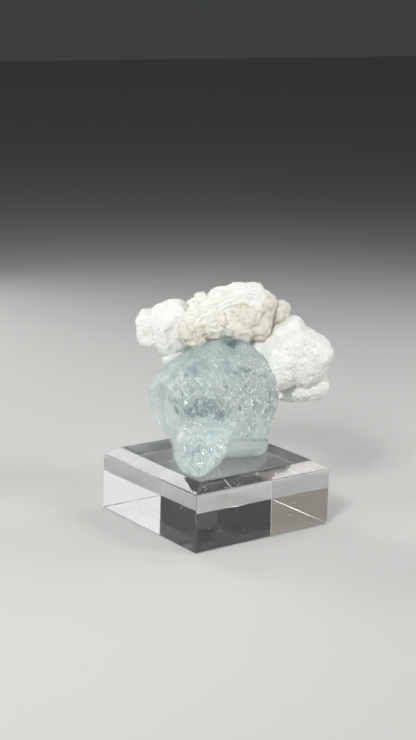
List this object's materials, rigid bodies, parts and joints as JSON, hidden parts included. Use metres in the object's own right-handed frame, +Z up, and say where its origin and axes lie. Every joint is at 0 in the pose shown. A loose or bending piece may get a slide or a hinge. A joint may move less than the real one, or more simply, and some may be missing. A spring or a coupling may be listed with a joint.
{
  "type": "mounted aquamarine crystal specimen",
  "caption": "Etched pale aquamarine crystal under lumpy white albite, set with clear putty on a square bevelled clear display block.",
  "frame": {"origin": "middle of the display block's underside", "axes": "+Z up, X and Y along the block's sides; the picture was taken from azimuth -36 degrees, looking at the corner at -X -Y"},
  "size_m": [0.037, 0.0328, 0.0461],
  "materials": {
    "acrylic": "cast and polished clear",
    "putty": "cloudy, hand pressed",
    "aquamarine": "etched, see-through, striated",
    "albite": "sugary, matt"
  },
  "bodies": {
    "root": {"acrylic_block": "acrylic", "mineral_putty": "putty", "aquamarine_crystal": "aquamarine", "albite_matrix": "albite"}
  },
  "joints": []
}
